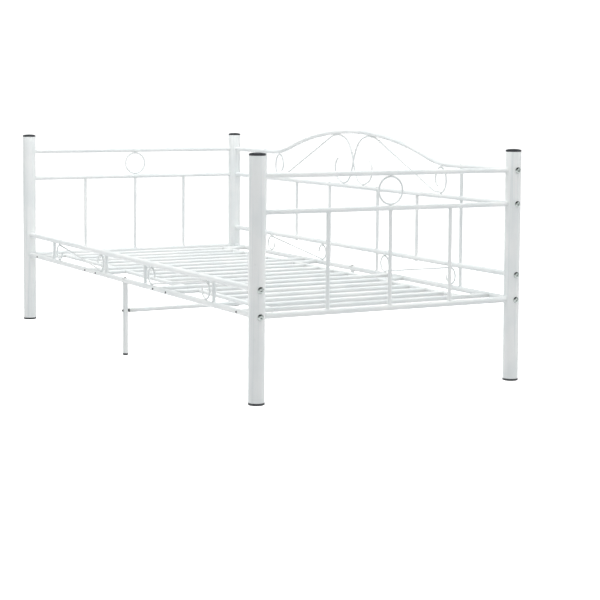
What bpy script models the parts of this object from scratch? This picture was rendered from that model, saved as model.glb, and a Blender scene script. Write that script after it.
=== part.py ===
"""Metal daybed: two post-and-rail ends, a low front guard, an arched rear panel, three slat panels.

Metres, +Z up.  X is the length, Y the depth (front at -Y, rear at +Y), and the origin is on
the floor below the middle of the bed.  Left is -X and right is +X.
"""
import bpy
import bmesh
from math import asin, cos, pi, radians, sin, sqrt
from mathutils import Matrix, Vector

# ---------------------------------------------------------------- driving dimensions
LENGTH = 2.060
DEPTH = 0.970
POST_HEIGHT = 0.745
POST_RADIUS = 0.0255
POST_WALL = 0.0015
CAP_HEIGHT = 0.009
FOOT_HEIGHT = 0.007

BASE_Z = 0.262
GUARD_Z = 0.342
MIDDLE_Z = 0.569
TOP_Z = 0.677
CREST_Z = 0.775
CREST_ARC_RADIUS = 1.70
CREST_ARC_HALF = 0.50
CREST_END_HALF = 0.65

HEAVY_RADIUS = 0.0095
LIGHT_RADIUS = 0.008
SPINDLE_RADIUS = 0.006
WIRE_RADIUS = 0.0033

END_SPINDLE_PITCH = 0.220
OUTER_SPINDLE_X = 0.714
MIDDLE_SPINDLE_X = 0.441
INNER_SPINDLE_X = 0.176
SPINDLE_PROUD = 0.002

SCROLL_OUTER_X = 0.656
SCROLL_INNER_X = 0.230
SCROLL_SWEEP = radians(285)

PANEL_PITCH = 0.627
PANEL_SLATS = 6
SLAT_PITCH = 0.1044
SLAT_RADIUS = 0.008
STRINGER_RADIUS = 0.0075
STRINGER_Y = 0.350
WELD_DEPTH = 0.0023

LEG_WALL = 0.0012
BRACE_Z = 0.157
BRACE_BEND = 0.045
COLLAR_RADIUS = 0.006
COLLAR_LENGTH = 0.004

BOLT_SHANK = 0.004
BOLT_HOLE = 0.0047
BOLT_HEAD_RADIUS = 0.010
BOLT_HEAD_HEIGHT = 0.004
SMALL_SHANK = 0.003
SMALL_HEAD_RADIUS = 0.005
SMALL_HEAD_HEIGHT = 0.003

GAP = 0.0003            # clearance kept between pieces that touch
POST_SIDES = 24
TUBE_SIDES = 12
STRINGER_SIDES = 10
HOLE_SIDES = 8

POST_X = LENGTH / 2 - POST_RADIUS
POST_Y = DEPTH / 2 - POST_RADIUS
SIDES = (("left", -1), ("right", 1))
ROWS = (("front", -1), ("rear", 1))


# ---------------------------------------------------------------- scene, collections, materials
for leftover in list(bpy.data.objects):
    bpy.data.objects.remove(leftover, do_unlink=True)

PARTS = bpy.data.collections.new("daybed")
CUTTERS = bpy.data.collections.new("daybed_cutters")
bpy.context.scene.collection.children.link(PARTS)
bpy.context.scene.collection.children.link(CUTTERS)

FINISHES = {
    "white_powder_coat": ((0.80, 0.82, 0.82, 1.0), 0.38, 0.0),
    "black_plastic": ((0.012, 0.012, 0.013, 1.0), 0.50, 0.0),
    "zinc_steel": ((0.48, 0.49, 0.50, 1.0), 0.32, 1.0),
}


def finish(name, piece):
    """A material for one piece, in one of the bed's three finishes."""
    colour, roughness, metallic = FINISHES[name]
    material = bpy.data.materials.new(piece)
    material.use_nodes = True
    shader = material.node_tree.nodes["Principled BSDF"]
    shader.inputs["Base Color"].default_value = colour
    shader.inputs["Roughness"].default_value = roughness
    shader.inputs["Metallic"].default_value = metallic
    return material


def add_object(name, mesh, collection):
    obj = bpy.data.objects.new(name, mesh)
    collection.objects.link(obj)
    return obj


def add_part(name, mesh, finish_name="white_powder_coat"):
    """One named sub-part of the bed, smooth where it is round."""
    mesh.name = name
    mesh.shade_smooth()
    mesh.set_sharp_from_angle(angle=radians(40))
    obj = add_object(name, mesh, PARTS)
    obj.data.materials.append(finish(finish_name, name))
    return obj


def add_cutter(name, mesh):
    """A shape that only cuts others: drawn as a wire, never rendered."""
    obj = add_object(name, mesh, CUTTERS)
    obj.hide_render = True
    obj.display_type = "WIRE"
    return obj


def cut(obj, *cutters):
    for cutter in cutters:
        boolean = obj.modifiers.new(cutter.name, "BOOLEAN")
        boolean.operation = "DIFFERENCE"
        boolean.object = cutter


# ---------------------------------------------------------------- basic shapes
def rod(start, end, radius, sides=TUBE_SIDES):
    """A straight round bar from start to end, as a mesh."""
    start, end = Vector(start), Vector(end)
    along = end - start
    turn = along.to_track_quat("Z", "Y").to_matrix().to_4x4()
    place = Matrix.Translation((start + end) / 2) @ turn
    bm = bmesh.new()
    bmesh.ops.create_cone(bm, cap_ends=True, segments=sides, radius1=radius, radius2=radius,
                          depth=along.length, matrix=place)
    mesh = bpy.data.meshes.new("rod")
    bm.to_mesh(mesh)
    bm.free()
    return mesh


def wire(points, radius, bevel_resolution=1):
    """A round wire or bent tube along a list of points, with closed ends, as a mesh."""
    curve = bpy.data.curves.new("wire", "CURVE")
    curve.dimensions = "3D"
    curve.bevel_depth = radius
    curve.bevel_resolution = bevel_resolution
    curve.use_fill_caps = True
    spline = curve.splines.new("POLY")
    spline.points.add(len(points) - 1)
    for spot, point in zip(spline.points, points):
        spot.co = (*point, 1.0)
    holder = add_object("wire", curve, CUTTERS)
    graph = bpy.context.evaluated_depsgraph_get()
    mesh = bpy.data.meshes.new_from_object(holder.evaluated_get(graph))
    bpy.data.objects.remove(holder, do_unlink=True)
    bpy.data.curves.remove(curve)
    bm = bmesh.new()
    bm.from_mesh(mesh)
    bmesh.ops.remove_doubles(bm, verts=bm.verts, dist=1e-5)
    bm.to_mesh(mesh)
    bm.free()
    return mesh


def turned(name, profile, place, finish_name, steps=POST_SIDES):
    """A turned piece: profile lists (radius, height) from its top down to its foot."""
    mesh = bpy.data.meshes.new(name)
    bm = bmesh.new()
    spots = [bm.verts.new((radius, 0.0, height)) for radius, height in profile]
    for upper, lower in zip(spots, spots[1:]):
        bm.edges.new((upper, lower))
    bm.to_mesh(mesh)
    bm.free()
    obj = add_object(name, mesh, PARTS)
    obj.matrix_world = place
    screw = obj.modifiers.new("turn", "SCREW")
    screw.steps = steps
    screw.render_steps = steps
    screw.use_merge_vertices = True
    screw.merge_threshold = 0.0001
    screw.use_smooth_shade = True
    obj.data.materials.append(finish(finish_name, name))
    return obj


def dome(radius, height, foot, steps):
    """Points of a low dome, from its crown on the axis out to its rim at height foot."""
    return [(radius * sin(turn), foot + height * cos(turn))
            for turn in (pi / 2 * step / steps for step in range(steps + 1))]


# ---------------------------------------------------------------- cutters shared by the joints
post_cutters = {}
for row, row_sign in ROWS:
    for side, side_sign in SIDES:
        x, y = side_sign * POST_X, row_sign * POST_Y
        post_cutters[row, side] = add_cutter(
            f"cut_post_{row}_{side}",
            rod((x, y, -0.01), (x, y, POST_HEIGHT + 0.01), POST_RADIUS + GAP, POST_SIDES))


def rail_cutter(name, start, end, radius):
    return add_cutter(name, rod(start, end, radius + GAP))


base_cutters = {
    row: rail_cutter(f"cut_{row}_base", (-LENGTH / 2, sign * POST_Y, BASE_Z),
                     (LENGTH / 2, sign * POST_Y, BASE_Z), HEAVY_RADIUS)
    for row, sign in ROWS}
guard_cutter = rail_cutter("cut_front_guard", (-LENGTH / 2, -POST_Y, GUARD_Z),
                           (LENGTH / 2, -POST_Y, GUARD_Z), HEAVY_RADIUS)
upper_cutter = rail_cutter("cut_rear_upper", (-LENGTH / 2, POST_Y, MIDDLE_Z),
                           (LENGTH / 2, POST_Y, MIDDLE_Z), LIGHT_RADIUS)
leg_cutter = add_cutter("cut_leg", rod((0, -POST_Y, -0.01), (0, -POST_Y, BASE_Z),
                                       HEAVY_RADIUS + GAP))


# ---------------------------------------------------------------- frame bolts: where they pass
def bolt_line(row, side_sign, height):
    """Outer end and inner end of a frame bolt's shank, through a post into a rail's end."""
    y = POST_Y if row == "rear" else -POST_Y
    outer = Vector((side_sign * (LENGTH / 2 + GAP), y, height))
    inner = Vector((side_sign * (POST_X - POST_RADIUS - 0.030), y, height))
    return outer, inner


BOLT_HEIGHTS = {"front": (BASE_Z, GUARD_Z), "rear": (BASE_Z, GUARD_Z, MIDDLE_Z, TOP_Z)}
bolt_cutters = {}
for row, _ in ROWS:
    for side, side_sign in SIDES:
        for height in BOLT_HEIGHTS[row]:
            outer, inner = bolt_line(row, side_sign, height)
            reach = outer + Vector((side_sign * 0.01, 0, 0))
            bolt_cutters[row, side, height] = add_cutter(
                f"cut_bolt_{row}_{side}_{round(height * 1000)}",
                rod(reach, inner - Vector((side_sign * 0.002, 0, 0)), BOLT_HOLE, HOLE_SIDES))


# ---------------------------------------------------------------- posts, caps and feet
def add_post(row, row_sign, side, side_sign):
    x, y = side_sign * POST_X, row_sign * POST_Y
    top = POST_HEIGHT - CAP_HEIGHT
    foot = FOOT_HEIGHT + GAP
    post = add_part(f"post_{row}_{side}", rod((x, y, foot), (x, y, top), POST_RADIUS, POST_SIDES))
    bore = add_cutter(f"cut_bore_{row}_{side}", rod((x, y, -0.01), (x, y, POST_HEIGHT + 0.01),
                                                    POST_RADIUS - POST_WALL, POST_SIDES))
    cut(post, bore, *(bolt_cutters[row, side, height] for height in BOLT_HEIGHTS[row]))

    plug = POST_RADIUS - POST_WALL - 2 * GAP
    crown = [(radius, height) for radius, height in dome(POST_RADIUS, 0.0045, 0.0045, 3)]
    turned(f"post_cap_{row}_{side}",
           crown + [(POST_RADIUS, GAP), (plug, GAP), (plug - 0.001, -0.014), (0, -0.014)],
           Matrix.Translation((x, y, top)), "black_plastic")
    turned(f"post_foot_{row}_{side}",
           [(0, 0.022), (plug - 0.001, 0.022), (plug, FOOT_HEIGHT), (POST_RADIUS, FOOT_HEIGHT),
            (POST_RADIUS, 0.0015), (POST_RADIUS - 0.0015, 0), (0, 0)],
           Matrix.Translation((x, y, 0)), "black_plastic")


for row, row_sign in ROWS:
    for side, side_sign in SIDES:
        add_post(row, row_sign, side, side_sign)


# ---------------------------------------------------------------- end frames: rails, spindles, ring
def add_end(side, side_sign):
    x = side_sign * POST_X
    posts = [post_cutters[row, side] for row, _ in ROWS]
    heights = (("top", TOP_Z, LIGHT_RADIUS), ("middle", MIDDLE_Z, LIGHT_RADIUS),
               ("bottom", BASE_Z, HEAVY_RADIUS))
    for level, z, radius in heights:
        rail = add_part(f"end_{side}_{level}_rail", rod((x, -POST_Y, z), (x, POST_Y, z), radius))
        cut(rail, *posts)

    middle_cutter = rail_cutter(f"cut_end_{side}_middle", (x, -POST_Y, MIDDLE_Z),
                                (x, POST_Y, MIDDLE_Z), LIGHT_RADIUS)
    bottom_cutter = rail_cutter(f"cut_end_{side}_bottom", (x, -POST_Y, BASE_Z),
                                (x, POST_Y, BASE_Z), HEAVY_RADIUS)
    for spot, y in (("front", -END_SPINDLE_PITCH), ("centre", 0), ("rear", END_SPINDLE_PITCH)):
        spindle = add_part(f"end_{side}_spindle_{spot}",
                           rod((x, y, BASE_Z), (x, y, MIDDLE_Z), SPINDLE_RADIUS))
        cut(spindle, middle_cutter, bottom_cutter)

    space = TOP_Z - MIDDLE_Z - 2 * LIGHT_RADIUS
    bpy.ops.mesh.primitive_torus_add(major_radius=space / 2 - GAP - WIRE_RADIUS,
                                     minor_radius=WIRE_RADIUS, major_segments=32,
                                     minor_segments=6)
    blank = bpy.context.object
    mesh = blank.data.copy()
    bpy.data.objects.remove(blank, do_unlink=True)
    ring = add_part(f"end_{side}_ring", mesh)
    ring.matrix_world = (Matrix.Translation((x, 0, (TOP_Z + MIDDLE_Z) / 2))
                         @ Matrix.Rotation(pi / 2, 4, "Y"))


for side, side_sign in SIDES:
    add_end(side, side_sign)


# ---------------------------------------------------------------- scroll wire of the two low panels
def scroll_points(side_sign, y):
    """An S: a curl round the outer centre, a straight slope, a curl round the inner centre."""
    middle = (GUARD_Z + BASE_Z) / 2
    curl = (GUARD_Z - BASE_Z) / 2 - HEAVY_RADIUS - GAP - WIRE_RADIUS
    half_span = (SCROLL_OUTER_X - SCROLL_INNER_X) / 2
    lean = asin(curl / half_span)
    steps = 12
    outer = []
    for step in range(steps + 1):
        turn = pi / 2 + lean - SCROLL_SWEEP * (1 - step / steps)
        outer.append((half_span + curl * cos(turn), curl * sin(turn)))
    inner = [(-across, -up) for across, up in reversed(outer)]
    centre = (SCROLL_OUTER_X + SCROLL_INNER_X) / 2
    return [(side_sign * (centre + across), y, middle + up) for across, up in outer + inner]


# ---------------------------------------------------------------- front guard
def add_front():
    y = -POST_Y
    posts = [post_cutters["front", side] for side, _ in SIDES]
    for level, z in (("base", BASE_Z), ("guard", GUARD_Z)):
        rail = add_part(f"front_{level}_rail", rod((-POST_X, y, z), (POST_X, y, z), HEAVY_RADIUS))
        cut(rail, *posts, *(bolt_cutters["front", side, z] for side, _ in SIDES))
        if level == "base":
            cut(rail, leg_bolt_cutter)
    for side, side_sign in SIDES:
        for spot, x in (("outer", OUTER_SPINDLE_X), ("inner", INNER_SPINDLE_X)):
            spindle = add_part(f"front_spindle_{spot}_{side}",
                               rod((side_sign * x, y, BASE_Z), (side_sign * x, y, GUARD_Z),
                                   SPINDLE_RADIUS))
            cut(spindle, base_cutters["front"], guard_cutter)
        add_part(f"front_scroll_{side}", wire(scroll_points(side_sign, y), WIRE_RADIUS))


leg_bolt_cutter = add_cutter("cut_leg_bolt", rod((0, -POST_Y, BASE_Z - 0.03),
                                                 (0, -POST_Y, BASE_Z + 0.03), SMALL_SHANK + GAP))
add_front()


# ---------------------------------------------------------------- arched rear panel
def crest_height(x):
    """Height of the crest rail's axis: a wide arc that eases into level ends."""
    x = abs(x)
    arc = CREST_Z - CREST_ARC_RADIUS + sqrt(max(CREST_ARC_RADIUS ** 2 - x * x, 0))
    if x <= CREST_ARC_HALF:
        return arc
    if x >= CREST_END_HALF:
        return TOP_Z
    edge = CREST_Z - CREST_ARC_RADIUS + sqrt(CREST_ARC_RADIUS ** 2 - CREST_ARC_HALF ** 2)
    slope = -CREST_ARC_HALF / sqrt(CREST_ARC_RADIUS ** 2 - CREST_ARC_HALF ** 2)
    span = CREST_END_HALF - CREST_ARC_HALF
    t = (x - CREST_ARC_HALF) / span
    return ((2 * t ** 3 - 3 * t ** 2 + 1) * edge + (t ** 3 - 2 * t ** 2 + t) * span * slope
            + (3 * t ** 2 - 2 * t ** 3) * TOP_Z)


def roof(x):
    """Highest line that a wire can follow below the crest rail."""
    return crest_height(x) - LIGHT_RADIUS - WIRE_RADIUS - 2 * GAP


def crest_scroll_points(side_sign):
    """The wire whose outer curl is on this side: curl, slope, over the top, centre sweep."""
    foot = MIDDLE_Z + LIGHT_RADIUS + GAP + WIRE_RADIUS
    curl_centre, curl_width, curl_rise = Vector((0.589, foot + 0.0438)), 0.033, 0.0438
    points = []
    for step in range(15):
        turn = radians(225 - 335 * step / 14)
        shrink = 0.70 if step == 0 else 0.86 if step == 1 else 1.0
        points.append(curl_centre + Vector((shrink * curl_width * cos(turn),
                                            shrink * curl_rise * sin(turn))))
    sweep = [(0.545, foot + 0.006), (0.163, roof(0.163) - 0.0025), (0.135, roof(0.135) - 0.0002),
             (0.105, roof(0.105)), (0.078, roof(0.078) - 0.007), (0.054, 0.746), (0.034, 0.729),
             (0.018, 0.707), (0.006, 0.681), (-0.003, 0.655), (-0.013, 0.628),
             (-0.027, 0.602), (-0.047, foot + 0.006), (-0.072, foot), (-0.098, foot + 0.007),
             (-0.118, 0.597), (-0.131, 0.616), (-0.135, 0.638), (-0.129, 0.657),
             (-0.115, 0.6735)]
    points += [Vector(point) for point in sweep]
    return [(side_sign * point.x, POST_Y, point.y) for point in points]


def add_rear():
    y = POST_Y
    posts = [post_cutters["rear", side] for side, _ in SIDES]
    outer_cut = [spindle_cutters["outer", side] for side, _ in SIDES]
    middle_cut = [spindle_cutters["middle", side] for side, _ in SIDES]
    inner_cut = [spindle_cutters["inner", side] for side, _ in SIDES]

    half = 15
    rise = [CREST_END_HALF * step / half for step in range(-half, half + 1)]
    crest_line = [(-POST_X, y, TOP_Z)] + [(x, y, crest_height(x)) for x in rise] + [(POST_X, y, TOP_Z)]
    rails = (("crest", wire(crest_line, LIGHT_RADIUS, 4), TOP_Z, outer_cut),
             ("upper", rod((-POST_X, y, MIDDLE_Z), (POST_X, y, MIDDLE_Z), LIGHT_RADIUS), MIDDLE_Z,
              outer_cut + inner_cut),
             ("guard", rod((-POST_X, y, GUARD_Z), (POST_X, y, GUARD_Z), HEAVY_RADIUS), GUARD_Z,
              outer_cut + middle_cut + inner_cut),
             ("base", rod((-POST_X, y, BASE_Z), (POST_X, y, BASE_Z), HEAVY_RADIUS), BASE_Z, []))
    for level, mesh, z, holes in rails:
        rail = add_part(f"rear_{level}_rail", mesh)
        cut(rail, *posts, *holes, *(bolt_cutters["rear", side, z] for side, _ in SIDES))

    for side, side_sign in SIDES:
        for spot in ("outer", "middle", "inner"):
            x, low, high = SPINDLE_RUNS[spot]
            spindle = add_part(f"rear_spindle_{spot}_{side}",
                               rod((side_sign * x, y, low), (side_sign * x, y, high),
                                   SPINDLE_RADIUS))
            cut(spindle, upper_cutter if spot == "middle" else base_cutters["rear"])
        add_part(f"rear_scroll_{side}", wire(scroll_points(side_sign, y), WIRE_RADIUS))

    crest = add_part("rear_crest_scrolls", wire(crest_scroll_points(1), WIRE_RADIUS))
    twin = add_cutter("join_crest_scroll", wire(crest_scroll_points(-1), WIRE_RADIUS))
    union = crest.modifiers.new("weld", "BOOLEAN")
    union.operation = "UNION"
    union.object = twin


SPINDLE_RUNS = {
    "outer": (OUTER_SPINDLE_X, BASE_Z, TOP_Z + LIGHT_RADIUS + SPINDLE_PROUD),
    "middle": (MIDDLE_SPINDLE_X, GUARD_Z - HEAVY_RADIUS - SPINDLE_PROUD, MIDDLE_Z),
    "inner": (INNER_SPINDLE_X, BASE_Z, MIDDLE_Z + LIGHT_RADIUS + SPINDLE_PROUD),
}
spindle_cutters = {}
for side, side_sign in SIDES:
    for spot, (x, low, high) in SPINDLE_RUNS.items():
        spindle_cutters[spot, side] = add_cutter(
            f"cut_spindle_{spot}_{side}",
            rod((side_sign * x, POST_Y, low - 0.02), (side_sign * x, POST_Y, high + 0.02),
                SPINDLE_RADIUS + GAP))
add_rear()


# ---------------------------------------------------------------- slat panels
def add_panel(name, centre):
    """A welded ladder: two stringers along X, four short slats and two long end slats along Y."""
    half = SLAT_PITCH * (PANEL_SLATS - 1) / 2
    panel = None
    for index in range(PANEL_SLATS):
        x = centre - half + index * SLAT_PITCH
        reach = POST_Y if index in (0, PANEL_SLATS - 1) else STRINGER_Y + WELD_DEPTH
        mesh = rod((x, -reach, BASE_Z), (x, reach, BASE_Z), SLAT_RADIUS)
        if panel is None:
            panel = add_part(name, mesh)
            continue
        weld = panel.modifiers.new(f"slat_{index}", "BOOLEAN")
        weld.operation = "UNION"
        weld.object = add_cutter(f"join_{name}_slat_{index}", mesh)
    for row, row_sign in ROWS:
        y = row_sign * STRINGER_Y
        mesh = rod((centre - half - WELD_DEPTH, y, BASE_Z), (centre + half + WELD_DEPTH, y, BASE_Z),
                   STRINGER_RADIUS, STRINGER_SIDES)
        weld = panel.modifiers.new(f"stringer_{row}", "BOOLEAN")
        weld.operation = "UNION"
        weld.object = add_cutter(f"join_{name}_stringer_{row}", mesh)
    cut(panel, base_cutters["front"], base_cutters["rear"])
    tidy = panel.modifiers.new("merge_slivers", "WELD")
    tidy.merge_threshold = 0.00005


for name, centre in (("left", -PANEL_PITCH), ("centre", 0.0), ("right", PANEL_PITCH)):
    add_panel(f"slat_panel_{name}", centre)


# ---------------------------------------------------------------- middle leg and its brace
def add_middle_support():
    y = -POST_Y
    brace_start = y + HEAVY_RADIUS + COLLAR_LENGTH + GAP
    bolt_hole = add_cutter("cut_brace_bolt", rod((0, y - 0.03, BRACE_Z),
                                                 (0, brace_start + 0.022, BRACE_Z),
                                                 SMALL_SHANK + GAP))
    leg = add_part("middle_leg", rod((0, y, FOOT_HEIGHT + GAP), (0, y, BASE_Z), HEAVY_RADIUS))
    bore = add_cutter("cut_leg_bore", rod((0, y, -0.01), (0, y, BASE_Z),
                                          HEAVY_RADIUS - LEG_WALL))
    cut(leg, bore, base_cutters["front"], bolt_hole)

    plug = HEAVY_RADIUS - LEG_WALL - 2 * GAP
    turned("middle_leg_foot",
           [(0, 0.016), (plug - 0.0005, 0.016), (plug, FOOT_HEIGHT), (HEAVY_RADIUS, FOOT_HEIGHT),
            (HEAVY_RADIUS, 0.001), (HEAVY_RADIUS - 0.001, 0), (0, 0)],
           Matrix.Translation((0, y, 0)), "black_plastic", 16)

    collar = add_part("brace_end_collar", rod((0, y, BRACE_Z), (0, brace_start - GAP, BRACE_Z),
                                              COLLAR_RADIUS), "black_plastic")
    cut(collar, leg_cutter, bolt_hole)

    bend = [(0, POST_Y - BRACE_BEND * (1 - sin(turn)), BRACE_Z + BRACE_BEND * (1 - cos(turn)))
            for turn in (pi / 2 * step / 6 for step in range(7))]
    brace_line = [(0, brace_start, BRACE_Z)] + bend + [(0, POST_Y, BASE_Z)]
    brace = add_part("middle_brace", wire(brace_line, LIGHT_RADIUS, 4))
    cut(brace, base_cutters["rear"], bolt_hole)


add_middle_support()


# ---------------------------------------------------------------- bolts
def add_bolt(name, seat, direction, shank_length, shank, head_radius, head_height, socket, tip=None):
    """A domed socket-head bolt; its head sits at seat and its shank runs along direction."""
    turn = (-Vector(direction)).to_track_quat("Z", "Y").to_matrix().to_4x4()
    place = Matrix.Translation(seat) @ turn
    end = [(shank, -shank_length), (0, -shank_length)] if tip is None else [
        (shank, -shank_length + 0.012), (tip, -shank_length + 0.012), (tip, -shank_length),
        (0, -shank_length)]
    bolt = turned(name, dome(head_radius, head_height, 0, 3) + [(shank, 0)] + end, place,
                  "zinc_steel", 16)
    hexagon = rod((0, 0, head_height - socket * 0.55), (0, 0, head_height + 0.004),
                  socket / sqrt(3), 6)
    key = add_cutter(f"cut_socket_{name}", hexagon)
    key.matrix_world = place
    cut(bolt, key)


for side, side_sign in SIDES:
    for level, height in (("base", BASE_Z), ("guard", GUARD_Z)):
        outer, inner = bolt_line("front", side_sign, height)
        add_bolt(f"front_{level}_bolt_{side}", outer, (inner - outer).normalized(),
                 (inner - outer).length, BOLT_SHANK, BOLT_HEAD_RADIUS, BOLT_HEAD_HEIGHT, 0.005)

add_bolt("brace_bolt", Vector((0, -POST_Y - HEAVY_RADIUS - GAP, BRACE_Z)), (0, 1, 0),
         2 * HEAVY_RADIUS + COLLAR_LENGTH + 0.020, SMALL_SHANK, SMALL_HEAD_RADIUS,
         SMALL_HEAD_HEIGHT, 0.004)
add_bolt("leg_bolt", Vector((0, -POST_Y, BASE_Z + HEAVY_RADIUS + GAP)), (0, 0, -1),
         2 * HEAVY_RADIUS + 0.024, SMALL_SHANK, SMALL_HEAD_RADIUS, SMALL_HEAD_HEIGHT, 0.004,
         HEAVY_RADIUS - LEG_WALL - 2 * GAP)
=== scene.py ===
# %% [markdown]
# # A powder-coated metal daybed
#
# The bed is a kit of welded steel parts that bolt together: four round corner posts, two
# post-and-rail ends, a low scrolled front guard, an arched scrolled rear panel and three ladder-like
# slat panels on a middle leg.  Each cell below builds one kind of piece around the fixed CAD frame.
# Units are metres, +Z is up, X runs along the bed, and the front guard is at -Y.

# %% Load the frame
import random
from math import asin, cos, pi, radians, sin, sqrt

import bpy
import bmesh
from mathutils import Matrix, Vector


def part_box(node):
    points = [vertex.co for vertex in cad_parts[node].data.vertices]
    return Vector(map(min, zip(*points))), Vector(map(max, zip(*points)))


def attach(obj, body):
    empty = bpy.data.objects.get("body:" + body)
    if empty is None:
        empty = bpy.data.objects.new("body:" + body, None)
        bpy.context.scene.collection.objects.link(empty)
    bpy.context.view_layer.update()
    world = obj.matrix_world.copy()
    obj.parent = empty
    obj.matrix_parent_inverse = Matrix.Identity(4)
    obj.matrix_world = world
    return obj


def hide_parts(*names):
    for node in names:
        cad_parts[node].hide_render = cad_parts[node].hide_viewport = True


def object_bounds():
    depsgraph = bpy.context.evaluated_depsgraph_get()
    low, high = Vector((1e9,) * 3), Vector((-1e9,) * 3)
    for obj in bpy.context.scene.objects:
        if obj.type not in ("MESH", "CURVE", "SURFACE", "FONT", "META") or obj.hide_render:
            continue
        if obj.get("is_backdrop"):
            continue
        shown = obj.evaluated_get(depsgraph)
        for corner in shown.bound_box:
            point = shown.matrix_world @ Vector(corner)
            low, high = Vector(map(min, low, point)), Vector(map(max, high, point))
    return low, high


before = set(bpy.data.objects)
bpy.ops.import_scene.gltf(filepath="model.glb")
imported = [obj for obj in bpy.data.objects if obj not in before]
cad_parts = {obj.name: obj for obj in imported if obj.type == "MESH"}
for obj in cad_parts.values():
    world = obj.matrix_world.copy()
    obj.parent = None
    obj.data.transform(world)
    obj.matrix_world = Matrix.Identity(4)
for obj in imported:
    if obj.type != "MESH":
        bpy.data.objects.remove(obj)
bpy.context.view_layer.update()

# %% [markdown]
# ## Colours and a node helper
#
# Paint makers give colours as sRGB hex codes, while shaders work in linear light, so one function
# converts them.  A second small function adds any shader node with its settings and its links, which
# keeps each finish readable as a list of what it is made of.

# %% Helpers for finishes
MM = 0.001


def linear(code):
    """An sRGB hex colour as linear RGBA."""
    channels = [int(code[i:i + 2], 16) / 255 for i in (1, 3, 5)]
    return tuple(c / 12.92 if c <= 0.04045 else ((c + 0.055) / 1.055) ** 2.4
                 for c in channels) + (1.0,)


def node(tree, kind, settings=None, **links):
    """Adds one node; settings are its properties, links are its inputs (a socket or a value)."""
    made = tree.nodes.new(kind)
    for key, value in (settings or {}).items():
        setattr(made, key, value)
    for key, value in links.items():
        name = key.replace("_", " ")
        socket = made.inputs[int(name[1:])] if name[1:].isdigit() else made.inputs[name]
        if isinstance(value, bpy.types.NodeSocket):
            tree.links.new(value, socket)
        else:
            socket.default_value = value
    return made


def new_finish(name):
    """An empty material with its node tree and its main shader."""
    material = bpy.data.materials.new(name)
    material.use_nodes = True
    tree = material.node_tree
    return material, tree, tree.nodes["Principled BSDF"]


def ramp(tree, factor, low, high):
    """A soft 0-to-1 step of factor between low and high."""
    return node(tree, "ShaderNodeMapRange", {"interpolation_type": "SMOOTHSTEP"}, Value=factor,
                From_Min=low, From_Max=high).outputs["Result"]


def blend(tree, factor, first, second):
    """A colour between first and second; each is a colour or a socket."""
    return node(tree, "ShaderNodeMix", {"data_type": "RGBA"}, _0=factor, _6=first,
                _7=second).outputs[2]


# %% [markdown]
# ## Finish: white powder coat on steel tube
#
# Dry polyester powder is sprayed on and baked, which gives a satin skin about 0.08 mm thick.  The eye
# reads it by three things: a faint waviness called orange peel (real spacing about 2 mm), a slightly
# uneven tone where the coat is thinner, and small rub marks.  The tube below was drawn, so long faint
# streaks run along it.  The orange peel is drawn at 3 mm so that it still shows from a few metres.

# %% Powder-coated steel
ORANGE_PEEL = 3.0 * MM
TONE_PATCH = 140 * MM
COAT_HEIGHT = 0.035 * MM


def powder_coated_steel(name, streak_axis):
    """White powder coat; streak_axis is the scale of the streaks along X, Y and Z."""
    material, tree, shader = new_finish(name)
    place = node(tree, "ShaderNodeTexCoord").outputs["Object"]
    patch = node(tree, "ShaderNodeTexNoise", Vector=place, Scale=1 / TONE_PATCH, Detail=3.0)
    stretched = node(tree, "ShaderNodeMapping", {"vector_type": "TEXTURE"}, Vector=place,
                     Scale=streak_axis)
    streak = node(tree, "ShaderNodeTexNoise", Vector=stretched.outputs[0], Scale=1 / (7 * MM),
                  Detail=1.0)
    peel = node(tree, "ShaderNodeTexNoise", Vector=place, Scale=1 / ORANGE_PEEL, Detail=1.0,
                Roughness=0.4)
    rub = node(tree, "ShaderNodeTexNoise", Vector=place, Scale=1 / (22 * MM), Detail=6.0,
               Roughness=0.72)
    white = blend(tree, ramp(tree, patch.outputs[0], 0.38, 0.62), linear("#e9eeee"), linear("#f1f4f3"))
    drawn = blend(tree, ramp(tree, streak.outputs[0], 0.50, 0.75), white, linear("#e2e8e8"))
    rubbed = blend(tree, ramp(tree, rub.outputs[0], 0.63, 0.76), drawn, linear("#d3d8d8"))
    edge = node(tree, "ShaderNodeNewGeometry").outputs["Pointiness"]
    worn = blend(tree, ramp(tree, edge, 0.56, 0.66), rubbed, linear("#cfd2d0"))
    gloss = node(tree, "ShaderNodeMapRange", Value=rub.outputs[0], From_Min=0.3, From_Max=0.75,
                 To_Min=0.30, To_Max=0.46)
    relief = node(tree, "ShaderNodeBump", Strength=0.35, Distance=COAT_HEIGHT,
                  Height=peel.outputs[0])
    tree.links.new(worn, shader.inputs["Base Color"])
    tree.links.new(gloss.outputs[0], shader.inputs["Roughness"])
    tree.links.new(relief.outputs[0], shader.inputs["Normal"])
    shader.inputs["IOR"].default_value = 1.52
    return material


ALONG, ACROSS = 60.0, 1.0
COAT_ALONG = {
    0: powder_coated_steel("powder-coated steel, tube along X", (ALONG, ACROSS, ACROSS)),
    1: powder_coated_steel("powder-coated steel, tube along Y", (ACROSS, ALONG, ACROSS)),
    2: powder_coated_steel("powder-coated steel, tube along Z", (ACROSS, ACROSS, ALONG)),
    None: powder_coated_steel("powder-coated steel, bent wire", (ACROSS, ACROSS, ACROSS))}
print("powder coats:", [coat.name for coat in COAT_ALONG.values()])

# %% [markdown]
# ## Finish: black moulded PE plastic
#
# The caps and feet are injection moulded from polyethylene in a spark-eroded mould, so they are matt
# with a fine grain of about 0.5 mm (drawn at 1.5 mm here) and they pick up pale dust on top.

# %% Moulded PE plastic
MOULD_GRAIN = 1.5 * MM


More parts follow.
